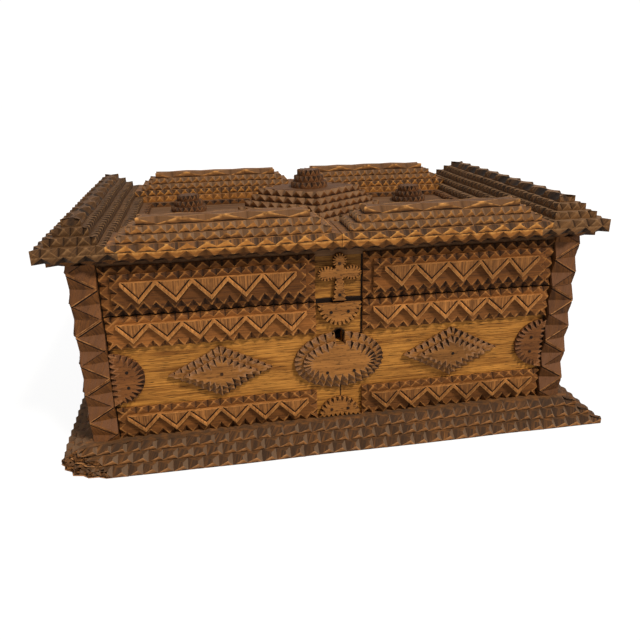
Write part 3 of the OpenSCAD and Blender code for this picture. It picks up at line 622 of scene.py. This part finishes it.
CROWN = wood("crown_wood", rgb(50, 26, 10), rgb(92, 53, 22), facet=rgb(120, 89, 61), dust=rgb(88, 62, 40),
             valley=rgb(96, 68, 44), wear_and_highlight=rgb(134, 88, 46), fill=0.6)
# The near-black facets of the cornice are painted shadow in its notches under the eave.
CORNICE = wood("cornice_wood", rgb(78, 47, 22), rgb(122, 77, 37), facet=rgb(34, 20, 10),
               dust=rgb(84, 62, 43))
BUTTON = wood("button_wood", rgb(58, 33, 17), rgb(104, 64, 33), facet=rgb(56, 38, 25), dust=rgb(76, 56, 40),
              valley=rgb(24, 15, 9), wear_and_highlight=rgb(136, 92, 54))
BAND = wood("band_wood", rgb(62, 34, 11), rgb(112, 66, 25), facet=rgb(52, 30, 13), dust=rgb(90, 60, 36),
            wear_and_highlight=rgb(148, 97, 46), dusty=0.1, fill=0.7)
BAND_UP = wood("upper_band_wood", rgb(74, 42, 15), rgb(122, 74, 31), facet=rgb(78, 47, 21),
               dust=rgb(90, 60, 36), valley=rgb(34, 20, 10), wear_and_highlight=rgb(166, 111, 56), dusty=0.1,
               sharp=(0.75, 1.0), fleck=0.2)
STRIP = wood("strip_wood", rgb(101, 61, 26), rgb(168, 111, 56), facet=rgb(86, 53, 26), dust=rgb(100, 70, 46),
             wear_and_highlight=rgb(194, 140, 80), dusty=0.1, fill=1.3, fleck=0.25)
POST = wood("post_wood", rgb(60, 34, 14), rgb(108, 65, 27), facet=rgb(98, 65, 43), dust=rgb(84, 54, 32),
            wear_and_highlight=rgb(168, 116, 68), dusty=0.1, fill=1.3, fleck=0.3)
ROSETTE = wood("rosette_wood", rgb(78, 44, 19), rgb(122, 75, 35), facet=rgb(86, 55, 35),
               dust=rgb(90, 60, 36), wear_and_highlight=rgb(140, 95, 60), dusty=0.1, sharp=(0.3, 0.7), fleck=0.5)
TILE = wood("tile_wood", rgb(100, 61, 25), rgb(154, 102, 48), facet=rgb(94, 66, 45), dust=rgb(100, 70, 46),
            wear_and_highlight=rgb(144, 104, 70), dusty=0.1, fill=0.9, sharp=(0.3, 0.7), fleck=0.4, speck=0.7)
GOLD = wood("gold_wood", rgb(104, 62, 24), rgb(154, 102, 48), facet=rgb(50, 29, 13), dust=rgb(100, 70, 46),
            dusty=0.1, fleck=0.6)
PANEL_X = plank("panel_wood_X", "X", rgb(108, 65, 22), rgb(174, 118, 50), streak=2.1, shaded_and_dirty=True)
PANEL_Y = plank("panel_wood_Y", "Y", rgb(108, 65, 22), rgb(174, 118, 50), streak=2.1, shaded_and_dirty=True)
FIELD = plank("field_wood", "X", rgb(72, 47, 28), rgb(108, 77, 50), streak=0.6)
INSIDE = plank("inside_wood", "X", rgb(100, 66, 34), rgb(140, 100, 58))
IRON = iron("old_iron")

# CAD nodes that are shown as they are.

for material, nodes in [
        (PANEL_X, ["front_wall", "back_wall", "lid_front_wall", "lid_back_wall"]),
        (PANEL_Y, ["left_wall", "right_wall", "lid_left_wall", "lid_right_wall"]),
        (FIELD, ["lid_board"]),
        (INSIDE, ["bottom_board"]),
        (IRON, ["lock_case", "lock_bolt", "strike_plate", "hinge_leaves_body", "hinge_leaves_lid",
                "hinge_pins", "body_nails", "lid_nails"])]:
    for node in nodes:
        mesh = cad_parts[node].data
        mesh.materials.clear()
        mesh.materials.append(material)

# Base: three layers, the two lower ones with a broken corner at the front left.

BASE_PITCH = 8.7
LOWER_BREAK = [(-171.7, -103), (-168.4, -106.2), (-168.8, -109), (-163.8, -112.2), (-162.6, -116.4),
               (-156.5, -117.8), (-153.2, -120.8), (-147, -121.4), (-142.6, -123.7)]
MIDDLE_BREAK = [(-165.6, -105), (-162.4, -107.6), (-162, -110.4), (-157.4, -112.6), (-155, -115.6),
                (-148, -117.6)]
BREAK_LINE, BREAK_FADE = -262.0, 6.0
PAINTED_LIGHT_LINE, PAINTED_LIGHT_FADE = -138.0, 10.0


def base_outline(x, y, broken):
    """Outline and chip counts of a base layer; broken lists points in place of its front left corner."""
    corner = np.array(broken or [(-x, -y)], float)
    outline = np.concatenate([corner, rect(-x, -y, x, y)[1:]])
    size = np.linalg.norm(np.roll(outline, -1, 0) - outline, axis=1)
    uncut = len(corner) - 1
    return outline, [0] * uncut + [round(side / BASE_PITCH) for side in size[uncut:]]


def splinter(part):
    """Roughens the broken corner: points near it move by random amounts and get dark and pale stains."""
    p = part["points"]
    near = np.clip((BREAK_LINE - p[:, 0] - p[:, 1]) / BREAK_FADE, 0, 1) * (p[:, 2] > 0.01)
    p[:, :2] += near[:, None] * RNG.uniform(0, 2.2, (len(p), 1))
    p[:, 2] *= 1 - near * RNG.uniform(0, 0.45, len(p))
    part["stain"] = part["stain"] + near * RNG.uniform(-2.2, 0.8, len(p))
    part["cut"] = np.maximum(part["cut"], near * (RNG.random(len(p)) > 0.7))


# skew gives each chip a narrow steep side, which takes the pale valley colour: painted light with a dusty
# grey.
for name, x, y, z, thick, bite, ground, skew, broken in [
        ("base_lower", 171.7, 123.7, 0.0, 4.6, 6.0, 0.3, -0.3, LOWER_BREAK),
        ("base_middle", 165.6, 117.6, 4.6, 4.2, 6.0, 0.3, -0.4, MIDDLE_BREAK),
        ("base_upper", 159.5, 111.5, 8.8, 4.2, 6.6, 0.4, -0.6, None)]:
    outline, cells = base_outline(x, y, broken)
    layer = carved(outline, thick, cells, bite, drop=0.97 * thick, ground=ground, skew=skew, seam=1.0)
    # Towards the left end each layer is painted paler and its facets less dark: painted light where the front
    # left post shades the base.
    left = np.clip((PAINTED_LIGHT_LINE - layer["points"][:, 0]) / PAINTED_LIGHT_FADE, 0, 1)
    layer["stain"] = 0.6 * left
    layer["chip"] = layer["chip"] * (1 - 0.5 * left)
    if broken:
        splinter(layer)
    emit(name, "box", BASE, [(layer, level(z))], light=0.2)

# Corner strips.

def post_pair(wall, reach, wide, thick, z0, z1):
    """Two mirrored strips on one wall, with their outer edges at reach from its middle."""
    return [(post(wide, z0, z1, thick, flip), shifted(wall, x, 0))
            for flip, x in ((False, reach - wide), (True, -reach))]


for prefix, body, z0, z1 in (("", "box", BASE_TOP, BODY_TOP), ("lid_", "lid", LID_LOW, FIELD_Z)):
    front = post_pair(on_front(0), FRONT_X, FRONT_W, POST_T, z0, z1)
    rear = [pair for wall, reach, thick in ((on_right(0), HALF_D, SIDE_T), (on_left(0), HALF_D, SIDE_T),
                                            (on_back(0), HALF_W, BACK_T))
            for pair in post_pair(wall, reach, POST_W, thick, z0, z1)]
    emit(prefix + "front_corner_posts", body, POST, front)
    emit(prefix + "rear_corner_posts", body, POST, rear)

# Bands.

BAND_H, LID_BAND_H, BAND_MID, BAND_PITCH = 19.4, 28.6, 14.5, 7.0
BAND_LEN = FRONT_X - FRONT_W - 1.0 - BAND_MID
SIDE_LEN = 2 * HALF_D - 2 * POST_W - 2.0
BAND_END_STEP, BAND_STEP = 5.8, 4.0
BAND_BITES = (4.7, 4.0, 3.5, 4.0)
UPPER_Z, LOWER_Z, LID_Z = BODY_TOP - 0.4 - BAND_H, BASE_TOP + 0.2, LID_LOW + 0.4


def band(z, height, layer, strip):
    """One layer of a band row: left and right on the front, and once on each side."""
    end, rise = layer * BAND_END_STEP, layer * BAND_STEP
    parts = []
    for wall, x, length in ((on_front, BAND_MID, BAND_LEN), (on_front, -BAND_MID - BAND_LEN, BAND_LEN),
                            (on_right, -SIDE_LEN / 2, SIDE_LEN), (on_left, -SIDE_LEN / 2, SIDE_LEN)):
        place = wall(layer * BAND_T)
        wide, high = length - 2 * end, height - 2 * rise
        if strip:
            parts.append((zigzag(wide, high), shifted(place, x + end, z + rise)))
        else:
            outline = rect(x + end, z + rise, x + length - end, z + height - rise)
            cells = [max(1, round(size / BAND_PITCH)) for size in (wide, high, wide, high)]
            board = carved(outline, BAND_T, cells, BAND_BITES, drop=2.4, margin=5.0, plain=(1, 3))
            parts.append((board, place))
    return parts


for name, body, z, height, layer, material, light in [
        ("upper_band_backs", "box", UPPER_Z, BAND_H, 0, BAND_UP, 0.6),
        ("upper_band_zigzags", "box", UPPER_Z, BAND_H, 1, STRIP, 0.4),
        ("lower_band_backs", "box", LOWER_Z, BAND_H, 0, BAND_UP, -0.4),
        ("lower_band_zigzags", "box", LOWER_Z, BAND_H, 1, STRIP, 0.0),
        ("lid_band_backs", "lid", LID_Z, LID_BAND_H, 0, BAND, 0.0),
        ("lid_band_mids", "lid", LID_Z, LID_BAND_H, 1, BAND, 0.0),
        ("lid_band_zigzags", "lid", LID_Z, LID_BAND_H, 2, STRIP, 0.0)]:
    emit(name, body, material, band(z, height, layer, material is STRIP), light)

# Rosettes, oval, diamonds and cross.

ROSETTE_X = FRONT_X - FRONT_W - 0.4
OVAL_Z = PANEL_Z + 0.6
KEY_FOOT, KEY_W, KEY_GAP = 63.6, 2.5, 3.3
DIAMOND_X, DIAMOND_Y, DIAMOND_STEP, DIAMOND_AT, DIAMOND_PITCH = 31.0, 16.4, 9.0, 72.5, 4.3


def half_rosette(rx, ry, a0, count, straight=0, **more):
    """Half an oval with one chip to each stretch of its curve; straight counts those of its straight edge."""
    outline = arc(rx, ry, a0, a0 + 180, count)
    return carved(outline, PANEL_T, [1] * count + [straight], drop=2.7, seam=1.0, **more)


emit("half_rosettes_sides", "box", ROSETTE,
     [(half_rosette(19, 16.4, start, 16, 9, bite=4.6, skew=-0.5), shifted(on_front(0), x, PANEL_Z))
      for start, x in ((90, ROSETTE_X), (-90, -ROSETTE_X))])
emit("half_rosette_top", "box", GOLD,
     [(half_rosette(13.4, 14.4, 180, 14, bite=3.4, share=0.6), shifted(on_front(0), 0, BODY_TOP - 1.2))])
emit("half_rosette_bottom", "box", GOLD,
     [(half_rosette(13.2, 13.2, 0, 12, 9, bite=2.9, share=0.7), shifted(on_front(0), 0, LOWER_Z))])


def oval(rx, ry, count, bite):
    """An oval of chips with a slot from its upper edge down to the foot of the keyhole."""
    slot = KEY_FOOT - OVAL_Z
    gap = math.degrees(math.asin(KEY_GAP / rx))
    curve = arc(rx, ry, 90 + gap, 450 - gap, count)
    outline = np.concatenate([curve, [[KEY_W, slot], [-KEY_W, slot]]])
    return carved(outline, PANEL_T, [1] * count + [0] * 3, bite, drop=2.6, ground=0.1, skew=-0.55, seam=1.0)


for name, lift, rx, ry, count, bite in (("oval_lower", 0, 28, 18.4, 32, 4.8),
                                        ("oval_upper", PANEL_T, 23, 13.4, 28, 5.6)):
    place = shifted(on_front(lift), 0, OVAL_Z)
    emit(name, "box", TILE, [(oval(rx, ry, count, bite), place)])


def diamond(hx, hy, thick, pitch, **more):
    """A diamond with half widths hx and hy and chips along its four edges."""
    outline = np.array([[0, -hy], [hx, 0], [0, hy], [-hx, 0]], float)
    return carved(outline, thick, [round(math.hypot(hx, hy) / pitch)] * 4, **more)


for name, layer in (("diamonds_lower", 0), ("diamonds_upper", 1)):
    lift, hx = layer * PANEL_T, DIAMOND_X - DIAMOND_STEP * layer
    hy = hx * DIAMOND_Y / DIAMOND_X
    emit(name, "box", TILE,
         [(diamond(hx, hy, PANEL_T, DIAMOND_PITCH, bite=4.8, drop=2.6, ground=0.1, skew=-0.5, seam=1.0),
           shifted(place, x, PANEL_Z))
          for place, x in ((on_front(lift), -DIAMOND_AT), (on_front(lift), DIAMOND_AT),
                           (on_right(lift), 0), (on_left(lift), 0))], light=-0.25)


def cross():
    """A cross with a flared foot, oval arms and a round head, and short slits along most of its outline."""
    foot, bar, head = LID_LOW, LID_LOW + 17.0, LID_Z + LID_BAND_H - 4.4
    neck_x, neck_z, arm_x = 2.3, bar - 2.6, 7.6
    runs = [(np.array([[-3.9, foot], [3.9, foot], [neck_x, neck_z]]), 0),
            (arc(5.6, 4.3, -143, 143, 13) + [arm_x, bar], 1),
            (arc(4.4, 4.4, -58, 238, 12) + [0, head], 1),
            (arc(5.6, 4.3, 37, 323, 13) + [-arm_x, bar], 1),
            (np.array([[-neck_x, neck_z]]), 0)]
    cells = []
    for points, slits in runs:
        cells += [slits] * (len(points) - 1) + [0]
    cells[1] = cells[-1] = 5
    outline = np.concatenate([points for points, _ in runs])
    return carved(outline, PANEL_T, cells, bite=1.9, drop=2.4, share=0.62, margin=2.0)


emit("lid_cross", "lid", GOLD, [(cross(), on_front(0))])

# Lid edge: cornice, two eaves, and the stepped ridges.

BOTH = (1, -1)
QUARTERS = [(sx, sy) for sx in BOTH for sy in BOTH]
FINE_PITCH, MID_GAP = 6.4, 0.15
EAVE_PITCH, CORNICE_PITCH = (10.4, FINE_PITCH), (10.1, FINE_PITCH)
RIDGE_IN, WING_OUT, WING_STEP, WING_END, END_RIDGE_X, END_RIDGE_OUT = 4.5, 5.8, 4.0, 6.2, 5.3, 4.2
ENDS, ALL_EDGES = (0, 2), (0, 1, 2, 3)
WING_TONE = {1: (0.1, 1.0), -1: (-0.8, 0.1)}


def span(sign, a, b):
    """A stretch on the positive side, or its mirror image."""
    return (a, b) if sign > 0 else (-b, -a)


def side_strip(sign, inner, outer, ends, z, thick, pitch, bite, under=False, **more):
    """A strip along the left or right side; pitch and bite are for its outer and its inner edges.

    under puts the chips of the outer edges on the lower side.
    """
    x0, x1 = span(sign, inner, outer)
    long_out, long_in = (round(2 * ends / size) for size in pitch)
    across = max(1, round((outer - inner) / pitch[0]))
    far, near = bite
    cells = [across, long_out, across, long_in] if sign > 0 else [across, long_in, across, long_out]
    bites = (far, far, far, near) if sign > 0 else (far, near, far, far)
    low = ((0, 1, 2) if sign > 0 else (0, 2, 3)) if under else ()
    return carved(rect(x0, -ends, x1, ends), thick, cells, bites, under=low, grain=1, **more), level(z)


def end_strip(sx, sy, x_span, y_span, z, thick, pitch, under=False, ends=False, **more):
    """A strip along the front or back, on the left or right half, or on both if sx is 0.

    pitch is for its outer and inner edge. Only the long edges are carved unless ends is set; under puts the
    chips of the outer edge on the lower side.
    """
    x0, x1 = span(sx, *x_span) if sx else (-x_span[1], x_span[1])
    y0, y1 = span(sy, *y_span)
    far, near = (max(1, round((x1 - x0) / size)) for size in pitch)
    short = max(1, round((y_span[1] - y_span[0]) / pitch[1])) if ends else 0
    cells = [near, short, far, short] if sy > 0 else [far, short, near, short]
    low = ((2,) if sy > 0 else (0,)) if under else ()
    return carved(rect(x0, y0, x1, y1), thick, cells, under=low, **more), level(z)


def stained(strip, amount, dust=1.0):
    """The same strip in paler or darker wood, with a share of its dust."""
    part, place = strip
    return {**part, "stain": np.full(len(part["points"]), amount), "top": dust * part["top"]}, place


def wing_strip(sign, *sizes, **more):
    """A side strip of the wings; the left wing is darker and less dusty."""
    return stained(side_strip(sign, *sizes, **more), *WING_TONE[sign])


emit("cornice", "lid", CORNICE,
     [side_strip(s, INNER_X, CORNICE_X, CORNICE_Y, FIELD_Z, CORNICE_T, EAVE_PITCH, (2.8, 5.0), True,
                 drop=2.8) for s in BOTH]
     + [end_strip(0, s, (0, INNER_X), (INNER_Y, CORNICE_Y), FIELD_Z, CORNICE_T, CORNICE_PITCH, True,
                  bite=2.8, drop=2.8) for s in BOTH])
emit("eave_lower_sides", "lid", WING,
     [wing_strip(s, LOWER_X, EAVE_X, EAVE_Y, CORNICE_TOP, EAVE_T, EAVE_PITCH, (3.0, 5.2), True, drop=3.7)
      for s in BOTH])
emit("eave_lower_ends", "lid", EAVE_LOW,
     [end_strip(sx, sy, (MID_GAP, LOWER_X), (LOWER_Y, EAVE_Y), CORNICE_TOP, EAVE_T, EAVE_PITCH, True,
                bite=3.0, drop=3.7) for sx, sy in QUARTERS])
emit("eave_upper_sides", "lid", WING,
     [wing_strip(s, UPPER_X, EAVE_X, EAVE_Y, EAVE_MID, EAVE_T, EAVE_PITCH, (3.6, 4.6), drop=3.7, plain=ENDS)
      for s in BOTH])
emit("eave_upper_ends", "lid", EAVE,
     [end_strip(sx, sy, (MID_GAP, UPPER_X), (UPPER_Y, EAVE_Y), EAVE_MID, EAVE_T, EAVE_PITCH,
                bite=3.6, drop=3.6, seam=1.0) for sx, sy in QUARTERS])

for k, (name, pitch, bite, margin) in enumerate([("side_ridge_step_1", FINE_PITCH, 3.9, 5.6),
                                                 ("side_ridge_step_2", FINE_PITCH, 3.9, 5.6),
                                                 ("side_ridge_top", 18.0, 4.8, 5.15)]):
    top = k == 2
    x0, x1 = UPPER_X + (k + 1) * RIDGE_IN, EAVE_X - WING_OUT - k * WING_STEP
    ends, z = EAVE_Y - (k + 1) * WING_END, EAVE_TOP + k * RIDGE_T
    emit(name, "lid", WING,
         [wing_strip(s, x0, x1, ends, z, RIDGE_T, (pitch, pitch), (bite, bite), drop=3.8, scoop=top,
                     margin=margin, plain=ALL_EDGES if top and s < 0 else ENDS) for s in BOTH])

for k, (name, material, pitch, bite, ground, skew) in enumerate([
        ("end_ridge_step_1", RIDGE, FINE_PITCH, 3.2, 0.18, -0.3),
        ("end_ridge_step_2", RIDGE, FINE_PITCH, 3.2, 0.18, -0.3),
        ("end_ridge_top", RIDGE_TOP, 24.0, 3.6, 0.0, None)]):
    x_span = (k + 1) * END_RIDGE_X, UPPER_X - (k + 1) * END_RIDGE_X
    y_span = UPPER_Y + (k + 1) * RIDGE_IN, EAVE_Y - (k + 1) * END_RIDGE_OUT
    z, darker = EAVE_TOP + k * RIDGE_T, -0.3 - 0.2 * k
    emit(name, "lid", material,
         [stained(end_strip(sx, sy, x_span, y_span, z, RIDGE_T, (pitch, pitch), ends=True, bite=bite,
                            drop=3.5, ground=ground, skew=skew, seam=1.0),
                  darker if sx > 0 > sy else 0.0) for sx, sy in QUARTERS])

# Crown and buttons.

CROWN_X, CROWN_STEP, CROWN_LAYERS, CROWN_SQUASH, CROWN_Y, CROWN_PITCH = 57.0, 5.0, 5, 0.8, 3, 7.4
BUTTON_R, BUTTON_STEP, BUTTON_X, BUTTON_Y = 13.2, 2.4, 87.0, 40.0

for k in range(CROWN_LAYERS):
    half = CROWN_X - CROWN_STEP * k
    tile = diamond(half, CROWN_SQUASH * half, CROWN_T, CROWN_PITCH, bite=3.4, drop=3.6, seam=1.0)
    place = level(FIELD_Z + k * CROWN_T, 0, CROWN_Y)
    emit("crown_%d" % (k + 1), "lid", CROWN, [(tile, place)])

CROWN_TOP = FIELD_Z + CROWN_LAYERS * CROWN_T
SPOTS = [(BUTTON_X * sx, BUTTON_Y * sy, FIELD_Z) for sx, sy in QUARTERS] + [(0, CROWN_Y, CROWN_TOP)]
for k, name in enumerate(("buttons_large", "buttons_medium", "buttons_small")):
    radius, count = BUTTON_R - BUTTON_STEP * k, 18 - 2 * k
    ring = arc(radius, radius, 0, 360, count)[:-1]
    emit(name, "lid", BUTTON,
         [(carved(ring, CROWN_T, [1] * count, bite=2.6, drop=3.4), level(z + k * CROWN_T, x, y))
          for x, y, z in SPOTS])

# Floor, light and camera.

FLOOR_HALF, FLOOR_Z = 6000.0, -0.4
GLOW_FROM, GLOW_TO = (0.35, 0.75), (0.4, 1.05)
CAMERA_AT = (-73.6, -447.2, 214.5)
CAMERA_TURN, CAMERA_DIP, CAMERA_ROLL = (math.radians(a) for a in (10.1, 20.99, -0.82))
PICTURE_PX, FOCAL_PX, SENSOR = 640.0, 626.4, 36.0


def pale_ground(name, grey):
    """Matt pale ground with a very faint mottling and a glow of its own."""
    g = Graph(name)
    x, y, _ = g.place()
    mottle = g.noise(x * 0.003, y * 0.003, 0.0, 2.0)
    shade = g.mix(mottle, (grey, grey, grey, 1.0), (0.98 * grey, 0.98 * grey, 0.98 * grey, 1.0))
    return g.finish(shade, 0.9, mottle, bump=0.02, specular=0.1, glow=0.92)


mesh = bpy.data.meshes.new("ground")
floor = np.column_stack([rect(-FLOOR_HALF, -FLOOR_HALF, FLOOR_HALF, FLOOR_HALF), np.full(4, FLOOR_Z)])
mesh.from_pydata((floor * MM).tolist(), [], [(0, 1, 2, 3)])
mesh.materials.append(pale_ground("ground_pale", 0.1))
ground = bpy.data.objects.new("ground", mesh)
bpy.context.scene.collection.objects.link(ground)


def sun(name, source, spread, power, colour):
    """Parallel soft light that comes from the direction source."""
    data = bpy.data.lights.new(name, "SUN")
    data.angle, data.energy, data.color = math.radians(spread), power, colour
    obj = bpy.data.objects.new(name, data)
    back = np.array(source, float) / np.linalg.norm(source)
    side = np.cross((0, 0, 1.0), back)
    side /= np.linalg.norm(side)
    pose = np.eye(4)
    pose[:3, :3] = np.column_stack([side, np.cross(back, side), back])
    obj.matrix_world = pose.T
    bpy.context.scene.collection.objects.link(obj)


sun("key", source=(0.42, -0.60, 0.95), spread=10.0, power=3.9, colour=(1.0, 0.95, 0.88))

# Sky: brighter towards the back, and white where the camera sees it.

world = bpy.data.worlds.new("studio")
world.use_nodes = True
tree = world.node_tree
spot = tree.nodes.new("ShaderNodeTexCoord")
split = tree.nodes.new("ShaderNodeSeparateXYZ")
glow = tree.nodes.new("ShaderNodeMapRange")
tree.links.new(spot.outputs["Generated"], split.inputs[0])
tree.links.new(split.outputs[1], glow.inputs[0])
for i, value in enumerate((*GLOW_FROM, *GLOW_TO), 1):
    glow.inputs[i].default_value = value
tree.nodes["Background"].inputs[0].default_value = (1.0, 0.98, 0.96, 1.0)
seen = tree.nodes.new("ShaderNodeLightPath")
either = tree.nodes.new("ShaderNodeMath")
either.operation = "MAXIMUM"
tree.links.new(glow.outputs[0], either.inputs[0])
tree.links.new(seen.outputs["Is Camera Ray"], either.inputs[1])
tree.links.new(either.outputs[0], tree.nodes["Background"].inputs[1])
bpy.context.scene.world = world
bpy.context.scene.view_settings.view_transform = "Standard"

camera = bpy.data.objects.new("camera", bpy.data.cameras.new("camera"))
camera.data.sensor_width = SENSOR
camera.data.lens = SENSOR * FOCAL_PX / PICTURE_PX
flat = math.cos(CAMERA_DIP)
ahead = np.array([math.sin(CAMERA_TURN) * flat, math.cos(CAMERA_TURN) * flat, -math.sin(CAMERA_DIP)])
level_right = np.array([math.cos(CAMERA_TURN), -math.sin(CAMERA_TURN), 0.0])
level_up = np.cross(level_right, ahead)
right = math.cos(CAMERA_ROLL) * level_right + math.sin(CAMERA_ROLL) * level_up
up = -math.sin(CAMERA_ROLL) * level_right + math.cos(CAMERA_ROLL) * level_up
pose = np.eye(4)
pose[:3, :] = np.column_stack([right, up, -ahead, np.array(CAMERA_AT) * MM])
camera.matrix_world = pose.T
bpy.context.scene.collection.objects.link(camera)
bpy.context.scene.camera = camera
